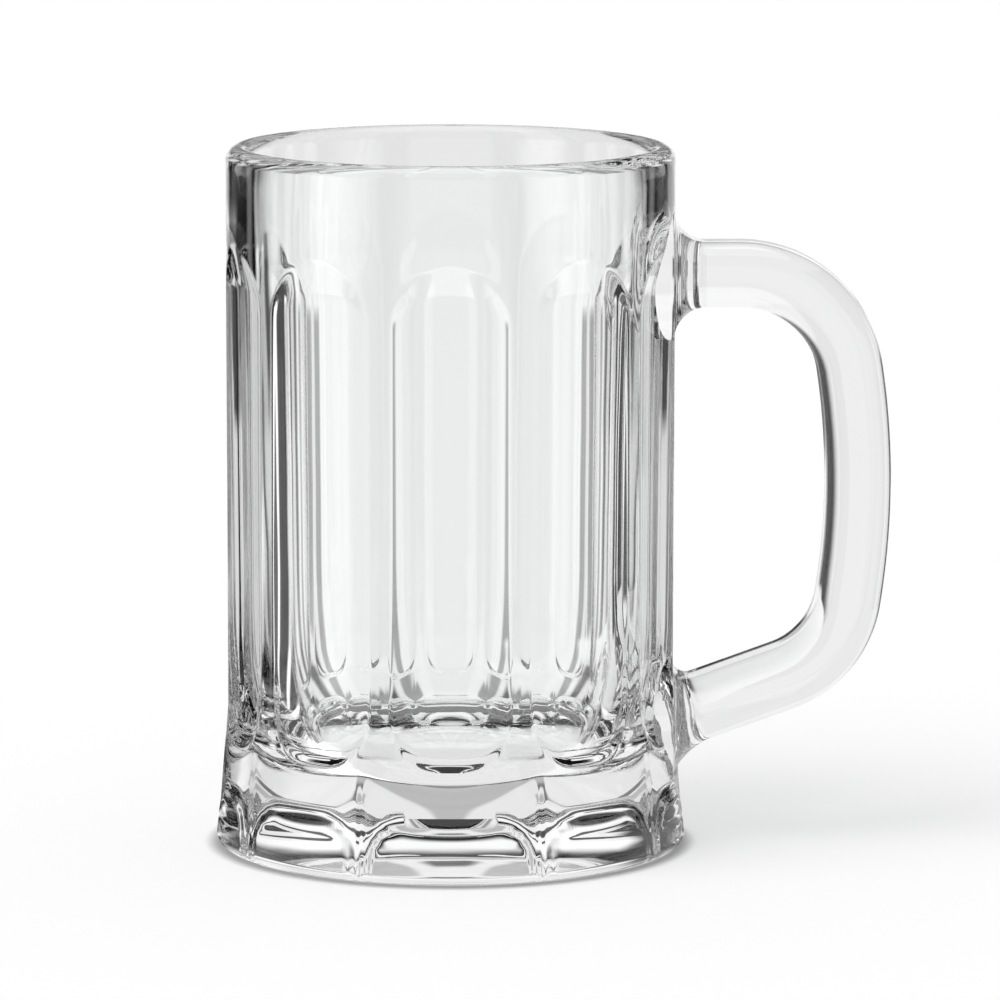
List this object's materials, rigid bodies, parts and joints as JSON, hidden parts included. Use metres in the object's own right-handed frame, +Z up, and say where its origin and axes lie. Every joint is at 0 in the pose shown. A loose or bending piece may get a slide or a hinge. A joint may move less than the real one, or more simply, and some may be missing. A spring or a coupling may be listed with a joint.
{
  "type": "beer mug",
  "caption": "Clear pressed-glass beer mug with flat arched panels round a straight bowl, a thick creased foot and a solid loop handle.",
  "frame": {"origin": "middle of the flat base, on the axis of the bowl", "axes": "+Z is up along the bowl's axis, +X points to the handle, -Y is the front of the picture"},
  "size_m": [0.1344, 0.0938, 0.14],
  "materials": {
    "clear_glass": "fire-polished clear glass, colourless and glossy all over"
  },
  "bodies": {
    "root": {"mug_body": "clear_glass", "handle": "clear_glass"}
  },
  "joints": []
}
